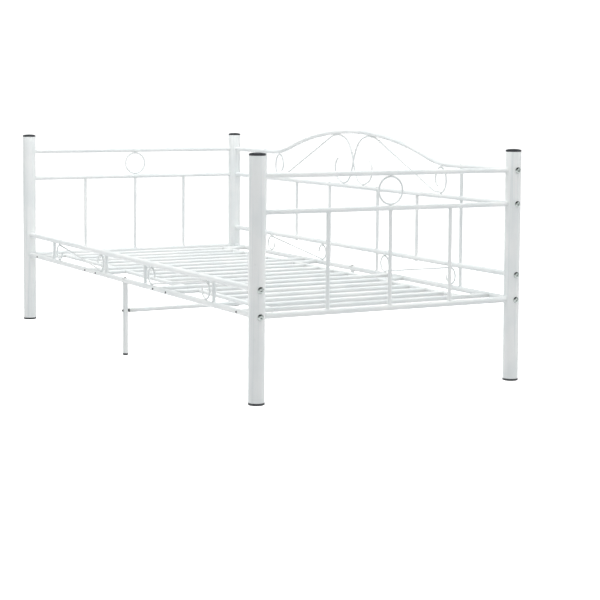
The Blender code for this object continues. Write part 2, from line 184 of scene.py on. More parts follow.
def moulded_plastic():
    material, tree, shader = new_finish("moulded PE plastic, black")
    place = node(tree, "ShaderNodeTexCoord").outputs["Object"]
    grain = node(tree, "ShaderNodeTexNoise", Vector=place, Scale=1 / MOULD_GRAIN, Detail=2.0)
    dust = node(tree, "ShaderNodeTexNoise", Vector=place, Scale=1 / (9 * MM), Detail=5.0,
                Roughness=0.7)
    normal = node(tree, "ShaderNodeNewGeometry").outputs["Normal"]
    up = node(tree, "ShaderNodeSeparateXYZ", Vector=normal).outputs["Z"]
    lying = node(tree, "ShaderNodeMath", {"operation": "MULTIPLY"},
                 _0=ramp(tree, up, 0.2, 1.0), _1=ramp(tree, dust.outputs[0], 0.45, 0.75))
    black = blend(tree, ramp(tree, grain.outputs[0], 0.35, 0.65), linear("#222427"),
                  linear("#313439"))
    dusty = blend(tree, lying.outputs[0], black, linear("#5c5f63"))
    gloss = node(tree, "ShaderNodeMapRange", Value=grain.outputs[0], To_Min=0.42, To_Max=0.62)
    relief = node(tree, "ShaderNodeBump", Strength=0.5, Distance=0.06 * MM, Height=grain.outputs[0])
    tree.links.new(dusty, shader.inputs["Base Color"])
    tree.links.new(gloss.outputs[0], shader.inputs["Roughness"])
    tree.links.new(relief.outputs[0], shader.inputs["Normal"])
    shader.inputs["IOR"].default_value = 1.51
    return material


BLACK_PE = moulded_plastic()
print("plastic:", BLACK_PE.name)

# %% [markdown]
# ## Finishes: bolts
#
# The frame bolts are zinc-plated steel: a bright metal with a slightly milky, patchy passivation.
# The small panel screws are black-oxide steel.  Both are metals, so only tone and roughness vary.

# %% Zinc-plated and black-oxide steel
def plated_steel(name, bright, dull, rough_low, rough_high):
    material, tree, shader = new_finish(name)
    place = node(tree, "ShaderNodeTexCoord").outputs["Object"]
    bloom = node(tree, "ShaderNodeTexNoise", Vector=place, Scale=1 / (3 * MM), Detail=4.0)
    pits = node(tree, "ShaderNodeTexNoise", Vector=place, Scale=1 / (0.8 * MM), Detail=1.0)
    tone = blend(tree, ramp(tree, bloom.outputs[0], 0.35, 0.65), linear(bright), linear(dull))
    gloss = node(tree, "ShaderNodeMapRange", Value=bloom.outputs[0], To_Min=rough_low,
                 To_Max=rough_high)
    relief = node(tree, "ShaderNodeBump", Strength=0.25, Distance=0.02 * MM, Height=pits.outputs[0])
    tree.links.new(tone, shader.inputs["Base Color"])
    tree.links.new(gloss.outputs[0], shader.inputs["Roughness"])
    tree.links.new(relief.outputs[0], shader.inputs["Normal"])
    shader.inputs["Metallic"].default_value = 1.0
    return material


ZINC = plated_steel("zinc-plated steel", "#9da3a1", "#787e7c", 0.10, 0.22)
BLACK_OXIDE = plated_steel("black-oxide steel", "#4a4b4e", "#37383b", 0.38, 0.60)
print("metals:", ZINC.name, "and", BLACK_OXIDE.name)

# %% [markdown]
# ## Making meshes: turned pieces and bent tubes
#
# Nearly everything here is round in section.  A turned mesh (a profile swept about an axis) suits
# straight tubes, caps, feet and bolts, because the profile can carry the small chamfers that catch
# light.  A curve with a bevel suits bent tube, scroll wire and weld beads.


def keep(obj, material, stands_for=()):
    """Gives a piece its finish, ties it to the frame and hides the CAD parts it stands for."""
    obj.data.materials.append(material)
    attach(obj, "root")
    if stands_for:
        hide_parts(*stands_for)
    return obj


def hexagon_reach(turn):
    """How far a unit hexagon's side lies from its centre in the direction turn."""
    return cos(pi / 6) / cos((turn + pi / 6) % (pi / 3) - pi / 6)


def turned(name, profile, place, steps):
    """A closed turned mesh.  profile: (radius, height) or (radius, height, 1) for a hexagon ring."""
    bm = bmesh.new()
    rings = []
    for radius, height, *hexed in profile:
        if radius == 0:
            rings.append([bm.verts.new(place @ Vector((0, 0, height)))])
            continue
        ring = []
        for step in range(steps):
            turn = 2 * pi * step / steps
            reach = radius * (hexagon_reach(turn) if hexed else 1)
            ring.append(bm.verts.new(place @ Vector((reach * cos(turn), reach * sin(turn), height))))
        rings.append(ring)
    for lower, upper in zip(rings, rings[1:]):
        for step in range(steps):
            after = (step + 1) % steps
            corners = [lower[step % len(lower)], lower[after % len(lower)],
                       upper[after % len(upper)], upper[step % len(upper)]]
            bm.faces.new(list(dict.fromkeys(corners)))
    bmesh.ops.recalc_face_normals(bm, faces=bm.faces)
    mesh = bpy.data.meshes.new(name)
    bm.to_mesh(mesh)
    bm.free()
    mesh.shade_smooth()
    mesh.set_sharp_from_angle(angle=radians(38))
    obj = bpy.data.objects.new(name, mesh)
    bpy.context.scene.collection.objects.link(obj)
    return obj


def aim(start, direction):
    """A placement whose +Z points along direction from start."""
    turn = Vector(direction).to_track_quat("Z", "Y").to_matrix().to_4x4()
    return Matrix.Translation(start) @ turn


# %% Bent tubes, wires and beads
def round_ends(points, radius):
    """Bevel factors that close a wire's two ends as half rounds."""
    lengths = [0.0]
    for before, after in zip(points, points[1:]):
        lengths.append(lengths[-1] + (Vector(after) - Vector(before)).length)
    factors = []
    for length in lengths:
        inset = min(length, lengths[-1] - length, radius)
        factors.append(max(sqrt(max(1 - (1 - inset / radius) ** 2, 0)), 0.12))
    return factors


def bent(name, strands, roundness=5):
    """Round bars along lines of points; strands are (points, radius, closed, factors or None)."""
    curve = bpy.data.curves.new(name, "CURVE")
    curve.dimensions = "3D"
    curve.bevel_depth = 1.0
    curve.bevel_resolution = roundness
    curve.use_fill_caps = True
    for points, radius, closed, factors in strands:
        spline = curve.splines.new("POLY")
        spline.points.add(len(points) - 1)
        spline.use_cyclic_u = closed
        spline.use_smooth = True
        for index, (spot, point) in enumerate(zip(spline.points, points)):
            spot.co = (*point, 1.0)
            spot.radius = radius * (factors[index] if factors else 1.0)
    obj = bpy.data.objects.new(name, curve)
    bpy.context.scene.collection.objects.link(obj)
    return obj


# %% [markdown]
# ## Weld beads
#
# Where one tube meets another the real joint is a small ripple of weld under the paint.  It follows
# the saddle-shaped line where the two cylinders meet.  For a tube of radius r meeting one of radius
# R at a right angle, a point at angle t on the line lies r cos t aside, r sin t along the receiver
# and sqrt(R*R - (r cos t)**2) up from its axis.  A thin closed curve on that line makes the bead.

# %% Bead line
BEAD_RADIUS = 1.5 * MM
BEAD_STEPS = 28
ripple = random.Random(7)


def bead(centre, receiver, direction, tube_radius, receiver_radius, size=BEAD_RADIUS):
    """One bead where a tube leaves a receiver's axis at centre towards direction."""
    receiver, direction = Vector(receiver), Vector(direction)
    aside = receiver.cross(direction)
    points, factors = [], []
    for step in range(BEAD_STEPS):
        turn = 2 * pi * step / BEAD_STEPS
        across = tube_radius * cos(turn)
        up = sqrt(max(receiver_radius ** 2 - across ** 2, 0))
        points.append(Vector(centre) + aside * across + receiver * tube_radius * sin(turn)
                      + direction * up)
        factors.append(ripple.uniform(0.82, 1.12))
    return points, size, True, factors


X, Y, Z = Vector((1, 0, 0)), Vector((0, 1, 0)), Vector((0, 0, 1))

# %% [markdown]
# ## Corner posts
#
# Each post is a 51 mm steel tube.  A turned outline gives it a small rounded lip at each end, where
# a saw-cut tube is deburred before coating, and a real bore that the cap's plug fills.

# %% Posts
POST_STEPS = 72
LIP = 0.8 * MM


def spread(name):
    """Centre and half sizes of a CAD node's box."""
    low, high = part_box(name)
    return (low + high) / 2, (high - low) / 2


corners = [(row, side) for row in ("front", "rear") for side in ("left", "right")]
for row, side in corners:
    centre, half = spread(f"post_{row}_{side}")
    radius, reach = half.x, half.z
    bore = radius - 1.5 * MM
    outline = [(bore, -reach), (radius - LIP, -reach), (radius - LIP * 0.3, -reach + LIP * 0.3),
               (radius, -reach + LIP)]
    outline += [(radius, -reach + LIP + (2 * reach - 2 * LIP) * cut / 12) for cut in range(1, 13)]
    outline += [(radius - LIP * 0.3, reach - LIP * 0.3), (radius - LIP, reach), (bore, reach),
                (bore, -reach)]
    post = turned(f"corner_post_{row}_{side}", outline, Matrix.Translation(centre), POST_STEPS)
    keep(post, COAT_ALONG[2], [f"post_{row}_{side}"])
POST_RADIUS = radius
POST_X, POST_Y = abs(centre.x), abs(centre.y)
print("post radius", round(POST_RADIUS, 4), "at", round(POST_X, 4), round(POST_Y, 4))

# %% [markdown]
# ## Caps and feet
#
# The caps are thin domed lids with a short skirt and a plug that grips inside the tube; the feet are
# the same moulding upside down with a flat sole.  Their profiles carry the moulded edge rounding.

# %% Post caps and post feet
def arc(radius, rise, steps, start=0.0, stop=pi / 2):
    """Points of a dome from its crown (start) out towards its rim (stop)."""
    turns = [start + (stop - start) * step / steps for step in range(steps + 1)]
    return [(radius * sin(turn), rise * cos(turn)) for turn in turns]


for row, side in corners:
    low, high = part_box(f"post_cap_{row}_{side}")
    centre, half = spread(f"post_cap_{row}_{side}")
    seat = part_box(f"post_{row}_{side}")[1].z
    rim, top = half.x, high.z - seat
    plug = POST_RADIUS - 1.5 * MM - 0.4 * MM
    gate = [(0, top - 0.5 * MM), (1.6 * MM, top - 0.5 * MM), (2.0 * MM, top - 0.1 * MM)]
    crown = [(r, top - 4.4 * MM + h) for r, h in arc(rim - 0.4 * MM, 4.4 * MM, 9)][1:]
    skirt = [(rim, top - 5.0 * MM), (rim, 0.9 * MM), (rim - 0.5 * MM, 0.4 * MM),
             (plug, 0.3 * MM), (plug, low.z - seat + 1.5 * MM), (plug - 1.2 * MM, low.z - seat),
             (0, low.z - seat)]
    cap = turned(f"domed_cap_{row}_{side}", gate + crown + skirt,
                 Matrix.Translation((centre.x, centre.y, seat)), POST_STEPS)
    keep(cap, BLACK_PE, [f"post_cap_{row}_{side}"])

    low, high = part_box(f"post_foot_{row}_{side}")
    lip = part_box(f"post_{row}_{side}")[0].z - 0.3 * MM
    sole = [(0, high.z), (plug - 1 * MM, high.z), (plug, high.z - 1.5 * MM), (plug, lip),
            (rim - 0.5 * MM, lip), (rim, lip - 0.5 * MM), (rim, 1.6 * MM), (rim - 0.5 * MM, 0.5 * MM),
            (rim - 1.5 * MM, 0), (0, 0)]
    foot = turned(f"post_shoe_{row}_{side}", sole, Matrix.Translation((centre.x, centre.y, 0)),
                  POST_STEPS)
    keep(foot, BLACK_PE, [f"post_foot_{row}_{side}"])
print("caps rise", round(top / MM, 1), "mm above the posts")

# %% [markdown]
# ## Straight rails and spindles
#
# A straight tube's axis and radius both come from its CAD box: the longest side is its length and
# half of a short side is its radius.  The ends run a little into their neighbours, and those that
# pass through a rail show a small chamfered end.

# %% Straight tubes
TUBE_STEPS = 40
CHAMFER = 0.7 * MM
COATED = {}


def straight(name, new_name):
    """Replaces a straight CAD tube by a smooth one; returns its ends, axis and radius."""
    low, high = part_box(name)
    size = high - low
    axis = max(range(3), key=lambda i: size[i])
    radius = sorted(size)[1] / 2
    centre = (low + high) / 2
    length = size[axis]
    direction = (X, Y, Z)[axis]
    start = centre - direction * length / 2
    outline = [(0, 0), (radius - CHAMFER, 0), (radius, CHAMFER)]
    outline += [(radius, CHAMFER + (length - 2 * CHAMFER) * part / 10) for part in range(1, 11)]
    outline += [(radius - CHAMFER, length), (0, length)]
    tube = turned(new_name, outline, aim(start, direction), TUBE_STEPS)
    keep(tube, COAT_ALONG[axis], [name])
    COATED[name] = (centre, axis, radius, start, start + direction * length)
    return tube


for side in ("left", "right"):
    for level in ("top", "middle", "bottom"):
        straight(f"end_{side}_{level}_rail", f"end_{side}_{level}_tube")
    for spot in ("front", "centre", "rear"):
        straight(f"end_{side}_spindle_{spot}", f"end_{side}_upright_{spot}")
    for spot in ("outer", "inner"):
        straight(f"front_spindle_{spot}_{side}", f"front_upright_{spot}_{side}")
    for spot in ("outer", "middle", "inner"):
        straight(f"rear_spindle_{spot}_{side}", f"rear_upright_{spot}_{side}")
for level in ("base", "guard"):
    straight(f"front_{level}_rail", f"front_{level}_tube")
for level in ("base", "guard", "upper"):
    straight(f"rear_{level}_rail", f"rear_{level}_tube")
straight("middle_leg", "middle_leg_tube")
print("straight tubes:", len(COATED))

# %% Heights and radii that the wires need
BASE_Z = COATED["front_base_rail"][0].z
GUARD_Z = COATED["front_guard_rail"][0].z
MIDDLE_Z = COATED["rear_upper_rail"][0].z
TOP_Z = COATED["end_left_top_rail"][0].z
HEAVY = COATED["front_base_rail"][2]
LIGHT = COATED["rear_upper_rail"][2]
SPINDLE = COATED["end_left_spindle_front"][2]
ring_low, ring_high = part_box("end_left_ring")
WIRE = (ring_high.x - ring_low.x) / 2 / cos(radians(30))
print("rail heights", [round(v, 3) for v in (BASE_Z, GUARD_Z, MIDDLE_Z, TOP_Z)], "wire", round(WIRE, 4))

# %% [markdown]
# ## Rings and scrolls
#
# The ornaments are 6.6 mm wire bent cold round a peg: a ring in each end frame, an S in each half of
# the two low panels, and a pair of long mirrored wires under the arch.  A wire is a line of points
# with a round bevel, dense enough that no corner shows, with half-round ends.

# %% Rings
RING_STEPS = 96
for side in ("left", "right"):
    centre, half = spread(f"end_{side}_ring")
    reach = half.z - WIRE
    loop = [centre + reach * (Y * cos(turn) + Z * sin(turn))
            for turn in (2 * pi * step / RING_STEPS for step in range(RING_STEPS))]
    ring = bent(f"end_{side}_wire_ring", [(loop, WIRE, True, None)])
    keep(ring, COAT_ALONG[None], [f"end_{side}_ring"])
print("ring outer width", round(2 * half.z / MM, 1), "mm")

# %% S-shaped scrolls of the low panels
SCROLL_OUTER_X, SCROLL_INNER_X = 0.656, 0.230
SCROLL_SWEEP = radians(285)


def s_scroll(sign, y, steps=56):
    """A curl round the outer centre, a straight slope and a curl round the inner centre."""
    middle = (GUARD_Z + BASE_Z) / 2
    curl = (GUARD_Z - BASE_Z) / 2 - HEAVY - WIRE
    half_span = (SCROLL_OUTER_X - SCROLL_INNER_X) / 2
    lean = asin(curl / half_span)
    outer = []
    for step in range(steps + 1):
        turn = pi / 2 + lean - SCROLL_SWEEP * (1 - step / steps)
        outer.append((half_span + curl * cos(turn), curl * sin(turn)))
    inner = [(-across, -up) for across, up in reversed(outer)]
    centre = (SCROLL_OUTER_X + SCROLL_INNER_X) / 2
    return [Vector((sign * (centre + across), y, middle + up)) for across, up in outer + inner]


for row, y in (("front", -POST_Y), ("rear", POST_Y)):
    for side, sign in (("left", -1), ("right", 1)):
        line = s_scroll(sign, y)
        scroll = bent(f"{row}_s_wire_{side}", [(line, WIRE, False, round_ends(line, WIRE))])
        keep(scroll, COAT_ALONG[None], [f"{row}_scroll_{side}"])

# %% Crest rail
CREST_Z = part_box("rear_crest_rail")[1].z - LIGHT
CREST_RADIUS, CREST_ARC_HALF, CREST_END_HALF = 1.70, 0.50, 0.65


def crest_height(x):
    """Height of the crest rail's axis: a wide arc that eases into level ends."""
    x = abs(x)
    centre = CREST_Z - CREST_RADIUS
    if x <= CREST_ARC_HALF:
        return centre + sqrt(CREST_RADIUS ** 2 - x * x)
    if x >= CREST_END_HALF:
        return TOP_Z
    fall = sqrt(CREST_RADIUS ** 2 - CREST_ARC_HALF ** 2)
    span = CREST_END_HALF - CREST_ARC_HALF
    t = (x - CREST_ARC_HALF) / span
    start = (2 * t ** 3 - 3 * t ** 2 + 1) * (centre + fall)
    lean = (t ** 3 - 2 * t ** 2 + t) * span * -CREST_ARC_HALF / fall
    return start + lean + (3 * t ** 2 - 2 * t ** 3) * TOP_Z


reach = POST_X - POST_RADIUS + 4 * MM
line = [Vector((-reach + 2 * reach * step / 240, POST_Y, 0)) for step in range(241)]
for point in line:
    point.z = crest_height(point.x)
crest = bent("rear_arched_tube", [(line, LIGHT, False, None)], 10)
keep(crest, COAT_ALONG[0], ["rear_crest_rail"])

# %% [markdown]
# ### The wires under the arch
#
# Each wire starts in an open curl near its own end of the arch, climbs straight to the crest rail,
# lies against it for a hand's width, then turns down through the middle and ends in a wide hook
# beyond the centre line.  A spline through a few set points gives the smooth sweep a bender makes.

# %% Crest scrolls
def smooth_line(points, steps=7):
    """A Catmull-Rom line through points."""
    padded = [points[0]] + list(points) + [points[-1]]
    line = []
    for a, b, c, d in zip(padded, padded[1:], padded[2:], padded[3:]):
        for step in range(steps):
            t = step / steps
            line.append(0.5 * (2 * b + (c - a) * t + (2 * a - 5 * b + 4 * c - d) * t * t
                               + (3 * b - a - 3 * c + d) * t ** 3))
    return line + [points[-1]]


CURL_X, CURL_WIDE, CURL_TALL = 0.589, 0.033, 0.0438
HOOK_X, CREST_TOUCH_X = 0.072, 0.120


def crest_scroll(sign):
    """The wire whose outer curl is on this side of the arch."""
    foot = MIDDLE_Z + LIGHT + WIRE
    roof = {x: crest_height(x) - LIGHT - WIRE for x in (0.163, 0.135, 0.105, 0.078)}
    curl_centre, wide, tall = Vector((CURL_X, foot + CURL_TALL)), CURL_WIDE, CURL_TALL
    points = []
    for step in range(15):
        turn = radians(225 - 335 * step / 14)
        shrink = 0.70 if step == 0 else 0.86 if step == 1 else 1.0
        points.append(curl_centre + shrink * Vector((wide * cos(turn), tall * sin(turn))))
    sweep = [(0.545, foot + 0.006), (0.163, roof[0.163] - 0.0025), (0.135, roof[0.135]),
             (0.105, roof[0.105]), (0.078, roof[0.078] - 0.007), (0.054, 0.746), (0.034, 0.729),
             (0.018, 0.707), (0.006, 0.681), (-0.003, 0.655), (-0.013, 0.628), (-0.027, 0.602),
             (-0.047, foot + 0.006), (-HOOK_X, foot), (-0.098, foot + 0.007), (-0.118, 0.597),
             (-0.131, 0.616), (-0.135, 0.638), (-0.129, 0.657), (-0.115, 0.6735)]
    slope = [Vector(sweep[0]).lerp(Vector(sweep[1]), part / 6) for part in range(1, 6)]
    points += [Vector(sweep[0])] + slope + [Vector(point) for point in sweep[1:]]
    return [Vector((sign * point.x, POST_Y, point.y)) for point in smooth_line(points)]


strands = []
for sign in (-1, 1):
    line = crest_scroll(sign)
    strands.append((line, WIRE, False, round_ends(line, WIRE)))
scrolls = bent("crest_scroll_wires", strands)
keep(scrolls, COAT_ALONG[None], ["rear_crest_scrolls"])
print("crest wires:", [len(strand[0]) for strand in strands], "points each")

# %% [markdown]
# ## Slat panels
#
# Each panel is a welded ladder of 16 mm tube: two long end slats that reach the base rails, four
# short ones between them, and two stringers that tie them together.  One curve holds all eight
# tubes, so the panel stays a single piece, as the welded one is.

# %% Ladders
STRINGER_Y = 0.350
PANEL_SLATS = 6
SLAT_RADIUS, STRINGER_RADIUS = 8.0 * MM, 7.5 * MM
slat_places = {}
for panel in ("left", "centre", "right"):
    low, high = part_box(f"slat_panel_{panel}")
    first, last = low.x + SLAT_RADIUS, high.x - SLAT_RADIUS
    xs = [first + (last - first) * index / (PANEL_SLATS - 1) for index in range(PANEL_SLATS)]
    slat_places[panel] = xs
    strands = []
    for index, x in enumerate(xs):
        reach = high.y if index in (0, PANEL_SLATS - 1) else STRINGER_Y
        line = [Vector((x, -reach + 2 * reach * part / 12, BASE_Z)) for part in range(13)]
        strands.append((line, SLAT_RADIUS, False, None))
    for y in (-STRINGER_Y, STRINGER_Y):
        line = [Vector((first + (last - first) * part / 10, y, BASE_Z)) for part in range(11)]
        strands.append((line, STRINGER_RADIUS, False, None))
    ladder = bent(f"slat_ladder_{panel}", strands, 8)
    keep(ladder, COAT_ALONG[1], [f"slat_panel_{panel}"])
print("slats at", {k: [round(x, 3) for x in v] for k, v in slat_places.items()})

# %% [markdown]
# ## Middle leg, foot and brace
#
# A thin leg holds the front base rail at mid-length.  A level brace is bolted through its collar to
# the leg, runs back under the slats and turns up into the rear base rail.

# %% Middle foot, collar and brace
def ring_foot(name, new_name, rim_lip):
    """The leg's small push-in foot."""
    low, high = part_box(name)
    centre, half = spread(name)
    rim = half.x
    neck = rim - 2.0 * MM
    outline = [(0, high.z), (neck - 0.5 * MM, high.z), (neck, high.z - MM), (neck, rim_lip),
               (rim - 0.4 * MM, rim_lip), (rim, rim_lip - 0.4 * MM), (rim, 1.2 * MM),
               (rim - MM, 0), (0, 0)]
    made = turned(new_name, outline, Matrix.Translation((centre.x, centre.y, 0)), 48)
    return keep(made, BLACK_PE, [name])


ring_foot("middle_leg_foot", "middle_leg_shoe", 7 * MM)

centre, half = spread("brace_end_collar")
length, rim = 2 * half.y, half.x
outline = [(0, 0), (rim - 0.6 * MM, 0), (rim, 0.6 * MM), (rim, length - 0.8 * MM),
           (rim - 0.8 * MM, length), (0, length)]
collar = turned("brace_collar", outline, aim(centre - Y * half.y, Y), 48)
keep(collar, BLACK_PE, ["brace_end_collar"])

low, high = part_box("middle_brace")
BRACE_Z = low.z + LIGHT
BRACE_BEND = 0.045
bend = [Vector((0, POST_Y - BRACE_BEND * (1 - sin(turn)), BRACE_Z + BRACE_BEND * (1 - cos(turn))))
        for turn in (pi / 2 * step / 24 for step in range(25))]
level = [Vector((0, low.y + (bend[0].y - low.y) * part / 12, BRACE_Z)) for part in range(12)]
rise = [Vector((0, POST_Y, bend[-1].z + (high.z - bend[-1].z) * part / 3)) for part in range(1, 4)]
brace = bent("middle_brace_tube", [(level + bend + rise, LIGHT, False, None)], 10)
keep(brace, COAT_ALONG[1], ["middle_brace"])
print("brace height", round(BRACE_Z, 3))

# %% [markdown]
# ## Weld beads of each frame
#
# All beads of one welded frame form one piece.  The spots where a wire only touches a tube get a
# short straight tack instead of a ring.

# %% Beads of the end frames
TACK_ASIDE = 1.6 * MM
SPINDLE_BEAD = 1.2 * MM


def tack(spot, along, length=7 * MM, size=1.7 * MM):
    """A short fillet of weld that lies along a direction."""
    line = [Vector(spot) + Vector(along) * length * (part / 6 - 0.5) for part in range(7)]
    return line, size, False, [0.45, 0.8, 1.0, 0.94, 1.0, 0.8, 0.45]


for side, sign in (("left", -1), ("right", 1)):
    x = sign * POST_X
    strands = []
    for z, radius in ((TOP_Z, LIGHT), (MIDDLE_Z, LIGHT), (BASE_Z, HEAVY)):
        strands.append(bead((x, -POST_Y, z), Z, Y, radius, POST_RADIUS))
        strands.append(bead((x, POST_Y, z), Z, -Y, radius, POST_RADIUS))
    for spot in ("front", "centre", "rear"):
        y = COATED[f"end_{side}_spindle_{spot}"][0].y
        strands.append(bead((x, y, MIDDLE_Z), Y, -Z, SPINDLE, LIGHT, SPINDLE_BEAD))
        strands.append(bead((x, y, BASE_Z), Y, Z, SPINDLE, HEAVY, SPINDLE_BEAD))
    for z in (TOP_Z - LIGHT, MIDDLE_Z + LIGHT):
        for depth in (-1, 1):
            strands.append(tack((x + depth * TACK_ASIDE, 0, z), Y))
    beads = bent(f"end_{side}_weld_beads", strands, 2)
    keep(beads, COAT_ALONG[None])

# %% Beads of the front guard and the rear panel
SCROLL_TOUCH = ((SCROLL_OUTER_X, GUARD_Z - HEAVY), (SCROLL_OUTER_X, BASE_Z + HEAVY),
                (SCROLL_INNER_X, GUARD_Z - HEAVY), (SCROLL_INNER_X, BASE_Z + HEAVY))


def scroll_tacks(y):
    """Tacks where the S-shaped wires touch the two low rails."""
    return [tack((sign * x, y + depth * TACK_ASIDE, z), X)
            for sign in (-1, 1) for x, z in SCROLL_TOUCH for depth in (-1, 1)]


def crossing(x, y, z, up, down, radius):
    """Beads where a spindle meets a rail from above, from below, or both."""
    ways = [Z] * up + [-Z] * down
    return [bead((x, y, z), X, way, SPINDLE, radius, SPINDLE_BEAD) for way in ways]


strands = scroll_tacks(-POST_Y)
for side, sign in (("left", -1), ("right", 1)):
    for spot in ("outer", "inner"):
        x = COATED[f"front_spindle_{spot}_{side}"][0].x
        strands += crossing(x, -POST_Y, BASE_Z, 1, 0, HEAVY)
        strands += crossing(x, -POST_Y, GUARD_Z, 0, 1, HEAVY)
strands.append(bead((0, -POST_Y, BASE_Z), X, -Z, HEAVY - 0.01 * MM, HEAVY, 1.3 * MM))
beads = bent("front_weld_beads", strands, 2)
keep(beads, COAT_ALONG[None])

strands = scroll_tacks(POST_Y)
for side, sign in (("left", -1), ("right", 1)):
    outer = COATED[f"rear_spindle_outer_{side}"][0].x
    middle = COATED[f"rear_spindle_middle_{side}"][0].x
    inner = COATED[f"rear_spindle_inner_{side}"][0].x
    joints = ((outer, BASE_Z, 1, 0, HEAVY), (outer, GUARD_Z, 1, 1, HEAVY),
              (outer, MIDDLE_Z, 1, 1, LIGHT), (outer, TOP_Z, 1, 1, LIGHT),
              (middle, GUARD_Z, 1, 1, HEAVY), (middle, MIDDLE_Z, 0, 1, LIGHT),
              (inner, BASE_Z, 1, 0, HEAVY), (inner, GUARD_Z, 1, 1, HEAVY),
              (inner, MIDDLE_Z, 1, 1, LIGHT))
    for x, z, up, down, radius in joints:
        strands += crossing(x, POST_Y, z, up, down, radius)
    for x, z in ((sign * CURL_X, MIDDLE_Z + LIGHT), (sign * HOOK_X, MIDDLE_Z + LIGHT),
                 (sign * CREST_TOUCH_X, crest_height(CREST_TOUCH_X) - LIGHT)):
        strands += [tack((x, POST_Y + depth * TACK_ASIDE, z), X) for depth in (-1, 1)]
beads = bent("rear_weld_beads", strands, 2)
keep(beads, COAT_ALONG[None])

# %% Beads of the slat panels
for panel, xs in slat_places.items():
    strands = []
    for index, x in enumerate(xs):
        for y, inward in ((-STRINGER_Y, Y), (STRINGER_Y, -Y)):
            strands.append(bead((x, y, BASE_Z), X, inward, SLAT_RADIUS * 0.93, STRINGER_RADIUS, 1.3 * MM))
    beads = bent(f"slat_weld_beads_{panel}", strands, 2)
    keep(beads, COAT_ALONG[None])

# %% [markdown]
# ## Bolts and screws
#
# The posts are pinned to the front and rear panels by domed socket-head bolts.  A turned head whose
# inner rings are hexagons gives a real socket.  Under the small bolts on top of the base rails, a thin
# curved washer fills the gap between the flat underside of the head and the round rail.

# %% Bolt shapes
def bolt_head(name, seat, outward, radius, rise, socket, shank, shank_length, material):
    """A domed head with a hexagon socket at seat, facing outward, with its shank behind it."""
    mouth = socket / 2 / cos(pi / 6)
    dome = [(r, h) for r, h in reversed(arc(radius, rise, 8, start=asin(min(mouth * 1.25 / radius, 1))))]
    outline = [(0, -shank_length), (shank, -shank_length), (shank, 0), (radius - 0.3 * MM, 0)]
    outline += dome + [(mouth * 1.12, dome[-1][1] - 0.1 * MM, 1), (mouth, dome[-1][1] - 0.5 * MM, 1),
                       (mouth, dome[-1][1] - 2.4 * MM, 1), (0, dome[-1][1] - 3.0 * MM)]
    return keep(turned(name, outline, aim(seat, outward), 48), material)


def saddle(name, centre, along, outward, radius, half_length, spread_angle, thickness, material):
    """A curved plate on a round tube: centre on the tube's axis, along it, facing outward."""
    along, outward = Vector(along), Vector(outward)
    aside = along.cross(outward)
    steps = 16
    bm = bmesh.new()
    grid = []
    for layer in (radius, radius + thickness):
        for step in range(steps + 1):
            turn = spread_angle * (2 * step / steps - 1)
            spot = Vector(centre) + layer * (aside * sin(turn) + outward * cos(turn))
            grid.append([bm.verts.new(spot - along * half_length),
                         bm.verts.new(spot + along * half_length)])
    inner, outer = grid[:steps + 1], grid[steps + 1:]
    for step in range(steps):
        bm.faces.new((inner[step][0], inner[step][1], inner[step + 1][1], inner[step + 1][0]))
        bm.faces.new((outer[step][0], outer[step + 1][0], outer[step + 1][1], outer[step][1]))
        for edge in (0, 1):
            bm.faces.new((inner[step][edge], inner[step + 1][edge], outer[step + 1][edge],
                          outer[step][edge]))
    for step in (0, steps):
        bm.faces.new((inner[step][0], inner[step][1], outer[step][1], outer[step][0]))
    bmesh.ops.recalc_face_normals(bm, faces=bm.faces)
    mesh = bpy.data.meshes.new(name)
    bm.to_mesh(mesh)
    bm.free()
    mesh.shade_smooth()
    mesh.set_sharp_from_angle(angle=radians(38))
    obj = bpy.data.objects.new(name, mesh)
    bpy.context.scene.collection.objects.link(obj)
    return keep(obj, material)


# %% Frame bolts
HEAD_RADIUS, HEAD_RISE = 10 * MM, 4 * MM
heights = {"front": (("base", BASE_Z), ("guard", GUARD_Z)),
           "rear": (("base", BASE_Z), ("guard", GUARD_Z), ("upper", MIDDLE_Z), ("crest", TOP_Z))}
for row, y in (("front", -POST_Y), ("rear", POST_Y)):
    for side, sign in (("left", -1), ("right", 1)):
        for level, z in heights[row]:
            seat = Vector((sign * (POST_X + POST_RADIUS + 0.3 * MM), y, z))
            bolt = bolt_head(f"{row}_{level}_bolt_head_{side}", seat, X * sign, HEAD_RADIUS,
                             HEAD_RISE, 6.5 * MM, 4 * MM, 12 * MM, ZINC)
            if row == "front":
                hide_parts(f"front_{level}_bolt_{side}")

# %% Brace bolt, leg bolt, rear brace bolt and panel screws
SMALL_RADIUS, SMALL_RISE = 5 * MM, 3 * MM
seat = Vector((0, -POST_Y - HEAVY - 0.3 * MM, BRACE_Z))
bolt = bolt_head("brace_bolt_head", seat, -Y, SMALL_RADIUS, SMALL_RISE, 4 * MM, 3 * MM, 30 * MM,
                 BLACK_OXIDE)
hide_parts("brace_bolt")
for row, y in (("front", -POST_Y), ("rear", POST_Y)):
    saddle(f"{row}_base_saddle", (0, y, BASE_Z), X, Z, HEAVY, 11 * MM, radians(62), 1.2 * MM,
           COAT_ALONG[0])
    seat = Vector((0, y, BASE_Z + HEAVY + 1.2 * MM))
    bolt = bolt_head(f"{row}_base_rail_bolt", seat, Z, SMALL_RADIUS, SMALL_RISE - 1.4 * MM, 4 * MM,
                     3 * MM, 20 * MM, ZINC if row == "front" else BLACK_OXIDE)
    if row == "front":
        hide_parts("leg_bolt")

